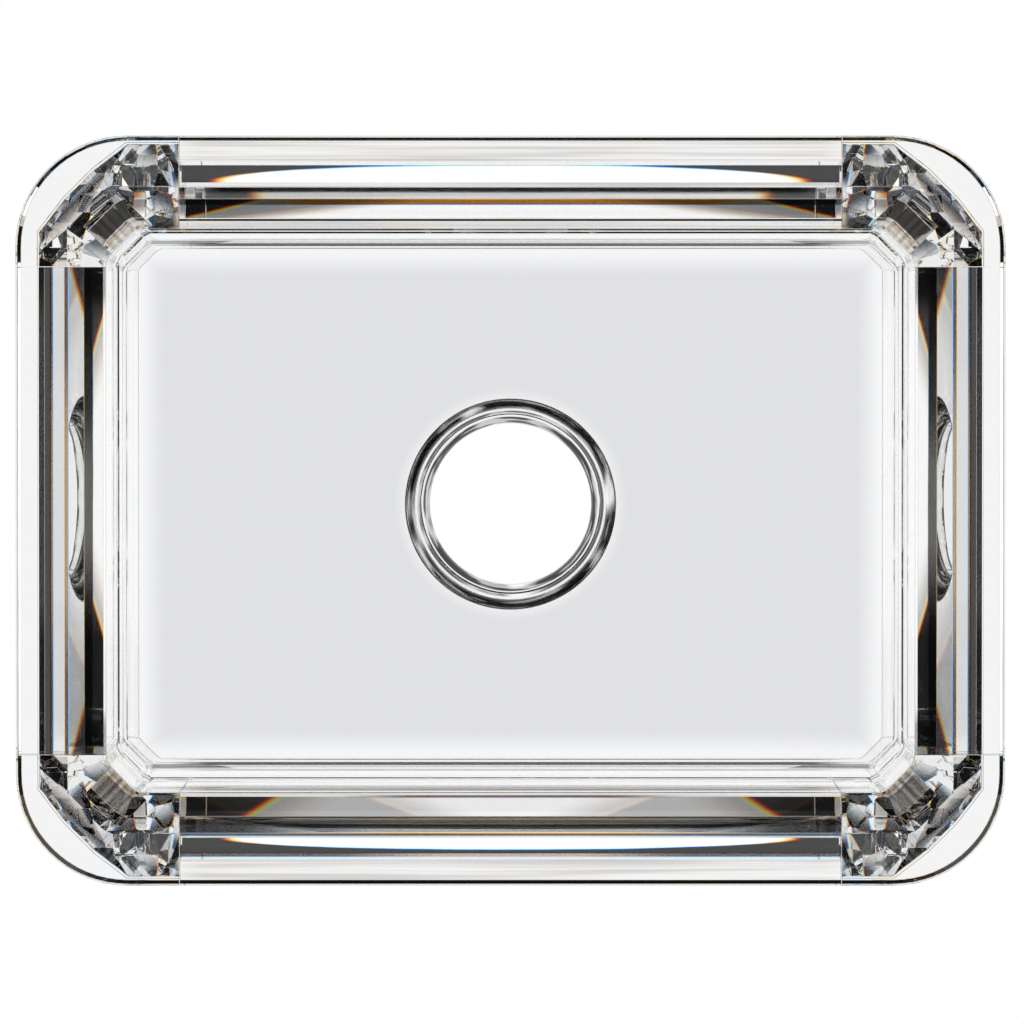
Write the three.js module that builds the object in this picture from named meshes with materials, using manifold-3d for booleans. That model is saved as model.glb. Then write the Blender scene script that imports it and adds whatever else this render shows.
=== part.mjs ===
// Undermount kitchen sink in clear cut crystal, millimetres, +Z up.
// The origin is the centre of the underside: z = 0 is the plane that the basin stands on, +X is to the right
// and +Y is to the back. The basin is bonded from cut and polished pieces: a rim of four bars and four corner
// pieces, four step-cut walls, four brilliant-cut corner blocks, a floor slab with a turned-up skirt that lies
// on a ledge inside them, and a drain collar seated in the slab.
import * as THREE from "three";
import { mergeVertices } from "three/addons/utils/BufferGeometryUtils.js";
import Module from "manifold-3d";

const wasm = await Module();
wasm.setup();

// ---------------------------------------------------------------- driving dimensions
const RIM_WIDTH = 533;
const RIM_DEPTH = 404;
const HEIGHT = 190;
const RIM_THICKNESS = 12;
const RIM_CORNER_RADIUS = 60;
const RIM_CORNER_STEPS = 16;
const RIM_ARRIS = 1; // the rim's outer edge, above
const RIM_UNDERCUT = 2.6; // and below
const OPENING_ARRIS = 1.2;
const LAND_HEIGHT = 0.5; // the ground land under the rim that the walls are bonded to
const LAND_MARGIN = 0.6; // and how far it reaches beyond the walls
const BOND_GAP = 0.3; // adhesive line between neighbouring pieces

const FLANGE_SIDES = 12; // rim overhang beyond the walls, left and right
const FLANGE_ENDS = 13.5; // rim overhang beyond the walls, front and back

const FACET_ANGLE = 43.5; // degrees from level, of the first step and of the foot: they mirror what stands around
const SHOULDER_INSET = 14; // the two steps under the rim bring the walls in by this much
const SHOULDER_DROP = 19; // and reach this far down
const LONG_STEP = 11.5; // run of the first step of the front and back walls
const SIDE_STEP = 6.5; // and of the side walls
const DRAFT_ENDS = 5.4; // the tall faces of the front and back walls lean in by this much
const DRAFT_SIDES = 7; // and those of the side walls
const FOOT_RUN = 10.5; // undercut above the plinth
const INNER_INSET = 36.5; // from the walls' outer line in to the basin
const PLINTH_HEIGHT = 60;
const PLINTH_ARRIS = 1.2;
const LEDGE_HEIGHT = 6; // the plinth runs on inwards as a ledge under the floor slab
const LEDGE_REACH = 9;

const CORNER_ARM_X = 76; // length of a corner block along the front or back wall
const CORNER_ARM_Y = 57; // and along the side wall
const ARM_FACET = 12; // length of the crossed facets at the end of the longer arm
const ARM_RELIEF = 7; // how far their middle stands out at the plinth
const SHELF_RELIEF = 4; // and at the shelf
const GIRDLE_REACH = 9.4; // the longer arm runs out under the flange by this much
const CORNER_CUT = 38.5; // where the cut corner would meet the body's outer lines, from their corner
const GIRDLE_BULGE = 0.07; // how far the cut swells beyond its chord under the rim, as a share of its leg
const CUT_BULGE = 0.11; // and below
const GIRDLE_FACETS = 3; // the cut's faces under the rim
const SHELF_FACETS = 2; // and on the shelf
const SHELF_RUN = 3.7; // run of the facets on the cut corner: girdle to shelf
const SHOULDER_RUN = 5.8; // and shelf to shoulder
const TABLE_EDGE = 0.17; // where the broad middle facet of the cut starts, as a share of its width
const INNER_CUT = 18;
const INNER_BULGE = 0.12;
const INNER_TABLE_EDGE = 0.16;

const FLOOR_THICKNESS = 16;
const FLOOR_ARRIS = 1.4; // round the slab's underside
const FLOOR_FALL = 2; // drop of the floor from its edge to the drain
const COVE_RISE = 5;
const COVE_SIDES = 12; // run of the cove at the left and right
const COVE_ENDS = 3; // and at the front and back
const COVE_STEPS = 6;
const SKIRT_HEIGHT = 30; // the slab's turned-up edge above the cove
const SKIRT_LIP = 1; // its thickness at the top
const SKIRT_DRAFT_SIDES = 0.7; // it grows by this much down to the cove, at the left and right
const SKIRT_DRAFT_ENDS = 5.5; // and at the front and back

const DRAIN_BORE = 90;
const SEAT_WIDTH = 3.5; // level land for the flange of a basket strainer
const THROAT_ROUND = 5; // inside the land
const SHOULDER_ROUND = 5; // and outside it
const COLLAR_BRIM = 0.5; // level edge outside the shoulder
const COLLAR_CONE = 8.5; // run of the conical seat under the brim
const COLLAR_ARRIS = 0.5;
const ROUND_STEPS = 5;
const DRAIN_STEPS = 72;

// ---------------------------------------------------------------- sizes that follow from them
const BODY_WIDTH = RIM_WIDTH - 2 * FLANGE_SIDES;
const BODY_DEPTH = RIM_DEPTH - 2 * FLANGE_ENDS;
const RIM_UNDERSIDE = HEIGHT - RIM_THICKNESS;
const WALL_TOP = RIM_UNDERSIDE - LAND_HEIGHT - BOND_GAP;
const SHOULDER_FOOT = WALL_TOP - SHOULDER_DROP;
const FACET_SLOPE = Math.tan(THREE.MathUtils.degToRad(FACET_ANGLE));
const FOOT_ENDS = SHOULDER_INSET + DRAFT_ENDS;
const FOOT_SIDES = SHOULDER_INSET + DRAFT_SIDES;
const FOOT_TOP = PLINTH_HEIGHT + FOOT_RUN * FACET_SLOPE;
const CAVITY_WIDTH = BODY_WIDTH - 2 * INNER_INSET;
const CAVITY_DEPTH = BODY_DEPTH - 2 * INNER_INSET;
const SKIRT_INSET = BOND_GAP + SKIRT_LIP; // from the walls to the basin's side of the skirt
const SKIRT_FOOT_SIDES = SKIRT_INSET + SKIRT_DRAFT_SIDES;
const SKIRT_FOOT_ENDS = SKIRT_INSET + SKIRT_DRAFT_ENDS;
const FLOOR_UNDERSIDE = LEDGE_HEIGHT + BOND_GAP;
const FLOOR_TOP = FLOOR_UNDERSIDE + FLOOR_THICKNESS;
const SKIRT_FOOT = FLOOR_TOP + COVE_RISE;
const SKIRT_TOP = SKIRT_FOOT + SKIRT_HEIGHT;
const DRAIN_LEVEL = FLOOR_TOP - FLOOR_FALL;
const SEAT_RADIUS = DRAIN_BORE / 2 + THROAT_ROUND + SEAT_WIDTH;
const COLLAR_RADIUS = SEAT_RADIUS + SHOULDER_ROUND + COLLAR_BRIM;
const COLLAR_BODY = COLLAR_RADIUS - COLLAR_CONE; // radius of the collar below its conical seat
const JOINT_X = BODY_WIDTH / 2 - CORNER_ARM_X; // joint planes between the corners and what lies between them
const JOINT_Y = BODY_DEPTH / 2 - CORNER_ARM_Y;
const BEYOND = 5; // how far a cutter runs past what it cuts

// ---------------------------------------------------------------- solids
function solidOf(geometry) {
  const bare = geometry.clone();
  for (const name of Object.keys(bare.attributes)) {
    if (name !== "position") bare.deleteAttribute(name);
  }
  const merged = mergeVertices(bare, 1e-4);
  return new wasm.Manifold(
    new wasm.Mesh({
      numProp: 3,
      vertProperties: new Float32Array(merged.attributes.position.array),
      triVerts: new Uint32Array(merged.index.array),
    }),
  );
}

function geometryOf(solid) {
  const mesh = solid.getMesh();
  const geometry = new THREE.BufferGeometry();
  geometry.setAttribute("position", new THREE.BufferAttribute(mesh.vertProperties, 3));
  geometry.setIndex(new THREE.BufferAttribute(mesh.triVerts, 1));
  const faceted = geometry.toNonIndexed();
  faceted.computeVertexNormals();
  return faceted;
}

// A closed solid through rings, lowest first, of which the first and the last are level. A ring is
// { points, keys }, its points run counter-clockwise, and keys (rising from 0) say where each point lies along
// the ring, so that rings with different numbers of points are joined by the triangles of a brilliant cut.
function loft(rings) {
  const positions = [];
  const starts = [];
  for (const ring of rings) {
    starts.push(positions.length / 3);
    ring.points.forEach((p) => positions.push(p.x, p.y, p.z));
  }
  const index = [];
  rings.slice(1).forEach((upper, i) => {
    const lower = rings[i];
    let a = 0;
    let b = 0;
    while (a < lower.points.length || b < upper.points.length) {
      const nextA = a + 1 < lower.keys.length ? lower.keys[a + 1] : Infinity;
      const nextB = b + 1 < upper.keys.length ? upper.keys[b + 1] : Infinity;
      const low = starts[i] + (a % lower.points.length);
      const high = starts[i + 1] + (b % upper.points.length);
      const stepLower = b >= upper.points.length || (a < lower.points.length && nextA <= nextB);
      if (stepLower) {
        index.push(low, starts[i] + ((a + 1) % lower.points.length), high);
        a += 1;
      } else {
        index.push(low, starts[i + 1] + ((b + 1) % upper.points.length), high);
        b += 1;
      }
    }
  });
  const first = rings[0];
  const last = rings[rings.length - 1];
  for (const [p, q, r] of THREE.ShapeUtils.triangulateShape(first.points, [])) index.push(p, r, q);
  const top = starts[starts.length - 1];
  for (const [p, q, r] of THREE.ShapeUtils.triangulateShape(last.points, [])) {
    index.push(top + p, top + q, top + r);
  }
  const geometry = new THREE.BufferGeometry();
  geometry.setAttribute("position", new THREE.Float32BufferAttribute(positions, 3));
  geometry.setIndex(index);
  return solidOf(geometry);
}

function ringAt(z, points) {
  return {
    points: points.map((p) => new THREE.Vector3(p.x, p.y, z)),
    keys: points.map((_, i) => i / points.length),
  };
}

function prism(points, bottom, top) {
  return loft([ringAt(bottom, points), ringAt(top, points)]);
}

// ---------------------------------------------------------------- outlines
// Points of a cut corner between a side along X that lies at y = onX and a side along Y that lies at x = onY.
// They follow a shallow arc from one to the other, at the given fractions of it.
function cutCorner(onX, onY, leg, bulgeShare, fractions) {
  const halfChord = leg / Math.SQRT2;
  const bulge = leg * bulgeShare;
  const radius = (halfChord ** 2 + bulge ** 2) / (2 * bulge);
  const middle = leg / 2 + (radius - bulge) / Math.SQRT2;
  const reach = Math.asin(halfChord / radius);
  return fractions.map((f) => {
    const angle = (5 * Math.PI) / 4 + reach * (1 - 2 * f);
    const x = onY + middle + radius * Math.cos(angle);
    return new THREE.Vector2(x, onX + middle + radius * Math.sin(angle));
  });
}

// A cut corner of one broad facet between two narrow ones.
const broadCut = (edge) => [0, edge, 1 - edge, 1];

const evenly = (faces) => Array.from({ length: faces + 1 }, (_, i) => i / faces);

// The leg of a cut corner whose outline has moved inwards by inset, side and cut alike.
const legInside = (leg, inset) => leg - (2 - Math.SQRT2) * inset;

// A rectangle with one corner mirrored into all four. The corner runs from the side along X to the side along Y
// and is given from its outer corner at the origin.
function fourCorners(width, depth, corner) {
  const placed = (points, sideX, sideY) =>
    points.map((p) => new THREE.Vector2(sideX * (width / 2 - p.x), sideY * (depth / 2 - p.y)));
  const reversed = [...corner].reverse();
  return [
    ...placed(reversed, -1, -1),
    ...placed(corner, 1, -1),
    ...placed(reversed, 1, 1),
    ...placed(corner, -1, 1),
  ];
}

function roundedOutline(inset) {
  const radius = RIM_CORNER_RADIUS - inset;
  const corner = evenly(RIM_CORNER_STEPS).map((f) => {
    const angle = 1.5 * Math.PI - (f * Math.PI) / 2;
    return new THREE.Vector2(radius + radius * Math.cos(angle), radius + radius * Math.sin(angle));
  });
  return fourCorners(RIM_WIDTH - 2 * inset, RIM_DEPTH - 2 * inset, corner);
}

// The basin's inner outline, moved inwards on its sides and on its front and back.
function cavityOutline(insetSides, insetEnds = insetSides) {
  const leg = legInside(INNER_CUT, (insetSides + insetEnds) / 2);
  const corner = cutCorner(0, 0, leg, INNER_BULGE, broadCut(INNER_TABLE_EDGE));
  return fourCorners(CAVITY_WIDTH - 2 * insetSides, CAVITY_DEPTH - 2 * insetEnds, corner);
}

// The outer line of the walls and corner blocks under the rim, moved outwards by margin.
function girdleOutline(margin) {
  const { points } = cornerRing(GIRDLE);
  const arc = points.slice(1).map((p) => new THREE.Vector2(p.x - margin, p.y - margin));
  return fourCorners(BODY_WIDTH, BODY_DEPTH, [new THREE.Vector2(CORNER_ARM_X, -margin), ...arc.reverse()]);
}

function circleOutline(radius) {
  return Array.from({ length: DRAIN_STEPS }, (_, i) => {
    const angle = (2 * Math.PI * i) / DRAIN_STEPS;
    return new THREE.Vector2(radius * Math.cos(angle), radius * Math.sin(angle));
  });
}

// ---------------------------------------------------------------- the rim
function rimRing() {
  const plate = loft([
    ringAt(RIM_UNDERSIDE, roundedOutline(RIM_UNDERCUT)),
    ringAt(RIM_UNDERSIDE + RIM_UNDERCUT, roundedOutline(0)),
    ringAt(HEIGHT - RIM_ARRIS, roundedOutline(0)),
    ringAt(HEIGHT, roundedOutline(RIM_ARRIS)),
  ]);
  const land = prism(girdleOutline(LAND_MARGIN), RIM_UNDERSIDE - LAND_HEIGHT, HEIGHT - RIM_ARRIS);
  const opening = loft([
    ringAt(RIM_UNDERSIDE - BEYOND, cavityOutline(0)),
    ringAt(HEIGHT - OPENING_ARRIS, cavityOutline(0)),
    ringAt(HEIGHT, cavityOutline(-OPENING_ARRIS)),
    ringAt(HEIGHT + BEYOND, cavityOutline(-OPENING_ARRIS)),
  ]);
  return plate.add(land).subtract(opening);
}

// The part of the rim that lies over a rectangle between two opposite corners of it.
function rimOver(ring, x0, y0, x1, y1) {
  const corners = [
    new THREE.Vector2(x0, y0),
    new THREE.Vector2(x1, y0),
    new THREE.Vector2(x1, y1),
    new THREE.Vector2(x0, y1),
  ];
  return geometryOf(ring.intersect(prism(corners, RIM_UNDERSIDE - BEYOND, HEIGHT + BEYOND)));
}

// ---------------------------------------------------------------- walls and corner blocks
// The wall's cross-section: x runs inwards from the outer line of the walls, y is the height.
function wallSection(firstStep, footInset) {
  const baseInset = footInset + FOOT_RUN;
  const shape = new THREE.Shape();
  shape.moveTo(0, WALL_TOP);
  shape.lineTo(firstStep, WALL_TOP - firstStep * FACET_SLOPE);
  shape.lineTo(SHOULDER_INSET, SHOULDER_FOOT);
  shape.lineTo(footInset, FOOT_TOP);
  shape.lineTo(baseInset, PLINTH_HEIGHT);
  shape.lineTo(baseInset, PLINTH_ARRIS);
  shape.lineTo(baseInset + PLINTH_ARRIS, 0);
  shape.lineTo(INNER_INSET + LEDGE_REACH, 0);
  shape.lineTo(INNER_INSET + LEDGE_REACH, LEDGE_HEIGHT);
  shape.lineTo(INNER_INSET, LEDGE_HEIGHT);
  shape.lineTo(INNER_INSET, WALL_TOP);
  shape.closePath();
  return shape;
}

// A straight wall along local X, with its outer line on the axis and local +Y inwards.
function wallGeometry(length, firstStep, footInset) {
  const section = wallSection(firstStep, footInset);
  const geometry = new THREE.ExtrudeGeometry(section, { depth: length, bevelEnabled: false });
  const along = new THREE.Vector3(1, 0, 0);
  const inwards = new THREE.Vector3(0, 1, 0);
  const up = new THREE.Vector3(0, 0, 1);
  geometry.applyMatrix4(new THREE.Matrix4().makeBasis(inwards, up, along));
  geometry.translate(-length / 2, 0, 0);
  return geometry;
}

// Where a facet edge of the corner block runs: how far in and how high it is on the arm along X and on the arm
// along Y, and how far the cut corner has moved in from the girdle.
const GIRDLE = {
  onX: -GIRDLE_REACH,
  onY: 0,
  heightX: WALL_TOP,
  heightY: WALL_TOP,
  run: 0,
  bulge: GIRDLE_BULGE,
  cut: evenly(GIRDLE_FACETS),
};
const SHELF = {
  onX: SHOULDER_INSET - LONG_STEP,
  onY: SIDE_STEP,
  heightX: SHOULDER_FOOT + LONG_STEP * FACET_SLOPE,
  heightY: WALL_TOP - SIDE_STEP * FACET_SLOPE,
  run: SHELF_RUN,
  relief: SHELF_RELIEF,
  cut: evenly(SHELF_FACETS),
};

// A facet edge that is level.
const levelEdge = (height, onX, onY, run, relief) => ({
  onX,
  onY,
  heightX: height,
  heightY: height,
  run,
  relief,
  cut: broadCut(TABLE_EDGE),
});

// One ring of a corner block: from the joint face on its X arm round the cut corner to the joint face on its
// Y arm, and back through the basin's side. At the end of each arm two facets cross where they stand out.
function cornerRing({ onX, onY, heightX, heightY, run, relief = 0, bulge = CUT_BULGE, cut }) {
  const point = (x, y, share) => new THREE.Vector3(x, y, heightX + (heightY - heightX) * share);
  const leg = CORNER_CUT + run * Math.SQRT2 - onX - onY;
  const arc = cutCorner(onX, onY, leg, bulge, cut);
  const path = [
    point(CORNER_ARM_X, onX, 0),
    point(CORNER_ARM_X - ARM_FACET / 2, onX - relief, 0),
    point(CORNER_ARM_X - ARM_FACET, onX, 0),
    ...arc.map((p, i) => point(p.x, p.y, cut[i])),
    point(onY - relief, (onX + leg + CORNER_ARM_Y) / 2, 1),
    point(onY, CORNER_ARM_Y, 1),
    point(CORNER_ARM_X, CORNER_ARM_Y, 1 / 2),
  ];
  const ends = path.length - cut.length;
  const keys = [0, 1, 2, ...cut.map((f) => 3 + f), 5, 6, ends + 2];
  return { points: path.reverse(), keys: keys.reverse().map((k) => ends + 2 - k) };
}

// A corner block with its outer corner at the origin and its arms along local +X and +Y.
function cornerBlock() {
  const shoulderRun = SHELF_RUN + SHOULDER_RUN;
  const footRun = shoulderRun + DRAFT_SIDES;
  const plinthEdge = (height, inwards) => {
    const run = FOOT_RUN + inwards;
    return levelEdge(height, FOOT_ENDS + run, FOOT_SIDES + run, footRun + run, ARM_RELIEF);
  };
  const edges = [
    plinthEdge(0, PLINTH_ARRIS),
    plinthEdge(PLINTH_ARRIS, 0),
    plinthEdge(PLINTH_HEIGHT, 0),
    levelEdge(FOOT_TOP, FOOT_ENDS, FOOT_SIDES, footRun, 0),
    levelEdge(SHOULDER_FOOT, SHOULDER_INSET, SHOULDER_INSET, shoulderRun, 0),
    SHELF,
    GIRDLE,
  ];
  const outside = loft(edges.map(cornerRing));
  const far = CORNER_ARM_X + BEYOND;
  const basinSide = (inset, bottom, top) => {
    const from = INNER_INSET + inset;
    const leg = legInside(INNER_CUT, inset);
    const arc = cutCorner(from, from, leg, INNER_BULGE, broadCut(INNER_TABLE_EDGE));
    const points = [
      new THREE.Vector2(far, far),
      new THREE.Vector2(from, far),
      ...arc.reverse(),
      new THREE.Vector2(far, from),
    ];
    return prism(points, bottom, top);
  };
  return outside
    .subtract(basinSide(0, LEDGE_HEIGHT, WALL_TOP + BEYOND))
    .subtract(basinSide(LEDGE_REACH, -BEYOND, LEDGE_HEIGHT + BEYOND));
}

// ---------------------------------------------------------------- floor and drain
// The floor slab: a skirt turned up along its edge over a cove, a slight fall to the drain, and a stepped hole
// for the collar.
function floorSlab() {
  const slab = loft([
    ringAt(FLOOR_UNDERSIDE, cavityOutline(BOND_GAP + FLOOR_ARRIS)),
    ringAt(FLOOR_UNDERSIDE + FLOOR_ARRIS, cavityOutline(BOND_GAP)),
    ringAt(SKIRT_TOP, cavityOutline(BOND_GAP)),
  ]);
  const cove = evenly(COVE_STEPS).map((f) => {
    const angle = (f * Math.PI) / 2;
    const along = 1 - Math.sin(angle);
    const outline = cavityOutline(SKIRT_FOOT_SIDES + COVE_SIDES * along, SKIRT_FOOT_ENDS + COVE_ENDS * along);
    return ringAt(SKIRT_FOOT - COVE_RISE * Math.cos(angle), outline);
  });
  const basin = loft([
    ...cove,
    ringAt(SKIRT_TOP, cavityOutline(SKIRT_INSET)),
    ringAt(SKIRT_TOP + BEYOND, cavityOutline(SKIRT_INSET)),
  ]);
  const wide = COLLAR_RADIUS + BOND_GAP;
  const narrow = COLLAR_BODY + BOND_GAP;
  const hole = loft([
    ringAt(FLOOR_UNDERSIDE - BEYOND, circleOutline(narrow)),
    ringAt(DRAIN_LEVEL - COLLAR_CONE, circleOutline(narrow)),
    ringAt(DRAIN_LEVEL, circleOutline(wide)),
    ringAt(SKIRT_TOP, circleOutline(wide)),
  ]);
  return slab.subtract(basin).subtract(fall(wide)).subtract(hole);
}

// What is ground off the floor so that it falls from the foot of the cove to the drain.
function fall(drainRadius) {
  const angleOf = (p) => (Math.atan2(p.y, p.x) + 2 * Math.PI) % (2 * Math.PI);
  const byAngle = (z, outline) => {
    const { points } = ringAt(z, outline);
    points.sort((p, q) => angleOf(p) - angleOf(q));
    const start = angleOf(points[0]);
    return { points, keys: points.map((p) => angleOf(p) - start) };
  };
  return loft([
    byAngle(DRAIN_LEVEL, circleOutline(drainRadius)),
    byAngle(FLOOR_TOP, cavityOutline(SKIRT_FOOT_SIDES + COVE_SIDES, SKIRT_FOOT_ENDS + COVE_ENDS)),
  ]);
}

// A quarter round of the collar's profile, from above its centre to inside it.
function quarterRound(centreX, centreY, radius) {
  return evenly(ROUND_STEPS).map((f) => {
    const angle = ((1 + f) * Math.PI) / 2;
    return new THREE.Vector2(centreX + radius * Math.cos(angle), centreY + radius * Math.sin(angle));
  });
}

// The collar: a rounded shoulder, a land for the strainer's flange and a rounded throat, on a 45 degree seat.
// Its profile runs from the foot of the bore outwards and back over the top.
function drainCollar() {
  const bore = DRAIN_BORE / 2;
  const foot = FLOOR_UNDERSIDE;
  const land = DRAIN_LEVEL - SHOULDER_ROUND;
  const profile = [
    new THREE.Vector2(bore, foot + COLLAR_ARRIS),
    new THREE.Vector2(bore + COLLAR_ARRIS, foot),
    new THREE.Vector2(COLLAR_BODY - COLLAR_ARRIS, foot),
    new THREE.Vector2(COLLAR_BODY, foot + COLLAR_ARRIS),
    new THREE.Vector2(COLLAR_BODY, DRAIN_LEVEL - COLLAR_CONE),
    new THREE.Vector2(COLLAR_RADIUS, DRAIN_LEVEL),
    ...quarterRound(SEAT_RADIUS + SHOULDER_ROUND, land, SHOULDER_ROUND),
    ...quarterRound(bore + THROAT_ROUND, land - THROAT_ROUND, THROAT_ROUND),
  ];
  profile.push(profile[0].clone());
  const turned = new THREE.LatheGeometry(profile, DRAIN_STEPS);
  turned.rotateX(Math.PI / 2);
  return turned;
}

// ---------------------------------------------------------------- materials
function crystal(color, roughness) {
  return new THREE.MeshStandardMaterial({
    color,
    roughness,
    metalness: 0,
    transparent: true,
    opacity: 0.35,
  });
}

const rimCrystal = crystal(0xf4f7fa, 0.03);
const wallCrystal = crystal(0xeef3f6, 0.02);
const cornerCrystal = crystal(0xe6eef4, 0.02);
const floorCrystal = crystal(0xdfe2e6, 0.06);
const collarCrystal = crystal(0xe9eef2, 0.03);

// ---------------------------------------------------------------- assembly
function named(name, geometry, material) {
  const mesh = new THREE.Mesh(geometry, material);
  mesh.name = name;
  return mesh;
}

// A corner piece that was made for the front left, mirrored into the corner on the given sides of the centre.
function inCorner(geometry, sideX, sideY) {
  const placed = geometry.clone();
  placed.scale(-sideX, -sideY, 1);
  if (sideX * sideY < 0) {
    const position = placed.attributes.position;
    const swap = new THREE.Vector3();
    const other = new THREE.Vector3();
    for (let i = 0; i < position.count; i += 3) {
      swap.fromBufferAttribute(position, i + 1);
      other.fromBufferAttribute(position, i + 2);
      position.setXYZ(i + 1, other.x, other.y, other.z);
      position.setXYZ(i + 2, swap.x, swap.y, swap.z);
    }
  }
  placed.computeVertexNormals();
  return placed;
}

const sink = new THREE.Group();
sink.add(named("floor_slab", geometryOf(floorSlab()), floorCrystal));
sink.add(named("drain_collar", drainCollar(), collarCrystal));

const barEndX = JOINT_X - BOND_GAP;
const barEndY = JOINT_Y - BOND_GAP;
const clearX = RIM_WIDTH / 2 + BEYOND;
const clearY = RIM_DEPTH / 2 + BEYOND;
const ring = rimRing();
sink.add(named("front_rim_bar", rimOver(ring, -barEndX, -clearY, barEndX, 0), rimCrystal));
sink.add(named("back_rim_bar", rimOver(ring, -barEndX, 0, barEndX, clearY), rimCrystal));
sink.add(named("left_rim_bar", rimOver(ring, -clearX, -barEndY, 0, barEndY), rimCrystal));
sink.add(named("right_rim_bar", rimOver(ring, 0, -barEndY, clearX, barEndY), rimCrystal));

const walls = [
  { name: "front_wall", turn: 0 },
  { name: "right_wall", turn: 1 },
  { name: "back_wall", turn: 2 },
  { name: "left_wall", turn: 3 },
];
for (const { name, turn } of walls) {
  const isLong = turn % 2 === 0;
  const geometry = isLong
    ? wallGeometry(2 * barEndX, LONG_STEP, FOOT_ENDS)
    : wallGeometry(2 * barEndY, SIDE_STEP, FOOT_SIDES);
  geometry.translate(0, isLong ? -BODY_DEPTH / 2 : -BODY_WIDTH / 2, 0);
  geometry.rotateZ((turn * Math.PI) / 2);
  sink.add(named(name, geometry, wallCrystal));
}

const rimQuadrant = rimOver(ring, -clearX, -clearY, -JOINT_X, -JOINT_Y);
const block = geometryOf(cornerBlock());
block.translate(-BODY_WIDTH / 2, -BODY_DEPTH / 2, 0);
const corners = [
  { name: "front_left", x: -1, y: -1 },
  { name: "front_right", x: 1, y: -1 },
  { name: "back_left", x: -1, y: 1 },
  { name: "back_right", x: 1, y: 1 },
];
for (const { name, x, y } of corners) {
  sink.add(named(`${name}_rim_corner`, inCorner(rimQuadrant, x, y), rimCrystal));
  sink.add(named(`${name}_corner_block`, inCorner(block, x, y), cornerCrystal));
}

export default sink;
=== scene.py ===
import math

import bmesh
import bpy
from mathutils import Matrix, Vector


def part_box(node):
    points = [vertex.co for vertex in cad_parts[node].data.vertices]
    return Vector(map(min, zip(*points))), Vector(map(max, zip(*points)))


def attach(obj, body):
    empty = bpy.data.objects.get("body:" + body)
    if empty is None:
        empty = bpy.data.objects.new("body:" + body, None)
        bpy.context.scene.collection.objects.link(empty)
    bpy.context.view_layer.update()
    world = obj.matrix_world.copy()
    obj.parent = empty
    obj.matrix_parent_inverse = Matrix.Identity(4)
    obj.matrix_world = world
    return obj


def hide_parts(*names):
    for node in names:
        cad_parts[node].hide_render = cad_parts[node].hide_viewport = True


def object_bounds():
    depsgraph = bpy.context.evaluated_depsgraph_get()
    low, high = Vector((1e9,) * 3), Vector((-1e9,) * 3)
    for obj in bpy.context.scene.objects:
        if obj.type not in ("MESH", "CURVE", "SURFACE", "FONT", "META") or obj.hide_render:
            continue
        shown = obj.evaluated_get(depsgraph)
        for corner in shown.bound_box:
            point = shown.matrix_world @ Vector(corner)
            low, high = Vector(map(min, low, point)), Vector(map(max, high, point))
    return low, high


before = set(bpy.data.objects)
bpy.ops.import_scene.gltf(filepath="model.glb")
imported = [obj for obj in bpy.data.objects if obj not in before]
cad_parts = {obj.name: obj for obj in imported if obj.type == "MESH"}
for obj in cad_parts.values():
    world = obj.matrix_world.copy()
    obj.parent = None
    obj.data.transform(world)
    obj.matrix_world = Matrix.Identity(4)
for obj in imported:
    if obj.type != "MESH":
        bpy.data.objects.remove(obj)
cad_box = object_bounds()

# Undermount kitchen sink in clear cut crystal, seen from straight above on white. Metres, +Z up.
# The cut facets mirror what stands around the sink: four screens with lit shapes on a dark ground, a white
# sheet below, and a dark room with four soft lights above. Dark lines, kites and rings that the facets do not
# give by themselves are painted reflections and refractions in the materials. So are the floor's grey, a
# painted shade with painted light towards its walls and drain, and the arrises' gold and blue. The kites also
# lean by bump.

MM = 0.001

# ---------------------------------------------------------------- sizes taken from the frame
RIM_TOP = cad_box[1].z
SLAB_LOW, SLAB_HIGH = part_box("floor_slab")
COLLAR_LOW, COLLAR_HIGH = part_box("drain_collar")

JOINT_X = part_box("front_wall")[1].x  # the walls end at the joints with the corner blocks
JOINT_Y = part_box("left_wall")[1].y
WALL_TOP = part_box("left_wall")[1].z
BOND_GAP = 0.3 * MM

# The floor slab: a skirt over a cove, and a fall to the drain.
CAVITY_X = SLAB_HIGH.x + BOND_GAP
CAVITY_Y = SLAB_HIGH.y + BOND_GAP
CORNER_LEG = 18 * MM
CORNER_BULGE = 0.12  # how far a corner's arc stands out from its chord, as a share of the leg
CORNER_SHARES = (0, 0.16, 0.84, 1)  # where the corner's flats begin and end along that arc
SLAB_ARRIS = 1.4 * MM
SKIRT_LIP = 1 * MM
SKIRT_HEIGHT = 30 * MM
DRAFT_SIDES = 0.7 * MM
DRAFT_ENDS = 5.5 * MM
COVE_RISE = 5 * MM
COVE_SIDES = 12 * MM
COVE_ENDS = 3 * MM
COVE_STEPS = 14
FALL = 2 * MM
SIDE_CUTS = {"x": 28, "y": 20, "corner": 8}  # how finely the slab's outline is divided

# The drain collar.
BORE = 45 * MM
THROAT_ROUND = 5 * MM
SEAT = 53.5 * MM
SHOULDER_ROUND = 5 * MM
COLLAR_BODY = 50.5 * MM
COLLAR_ARRIS = 0.5 * MM
ROUND_STEPS = 14
COLLAR_STEPS = 192

# ---------------------------------------------------------------- finish
CRYSTAL_IOR = 1.55
ARRIS = 0.45 * MM  # polished edge of every cut piece
JOINT_ARRIS = 0.25  # share of it that is left on the edges of a bonded joint
JOINT_CLOSING = 0.12 * MM  # each side of a joint comes this much closer, where the adhesive fills the gap
ARRIS_STEPS = 2
ARRIS_ANGLE = math.radians(7)  # an edge that turns less keeps no arris
WELD = 0.01 * MM
FLAT = math.radians(0.4)  # triangles that turn less than this belong to one facet
SLAB_SMOOTH = math.radians(14)  # an edge of the slab that turns less is shaded smooth
COLLAR_SMOOTH = math.radians(20)

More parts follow.
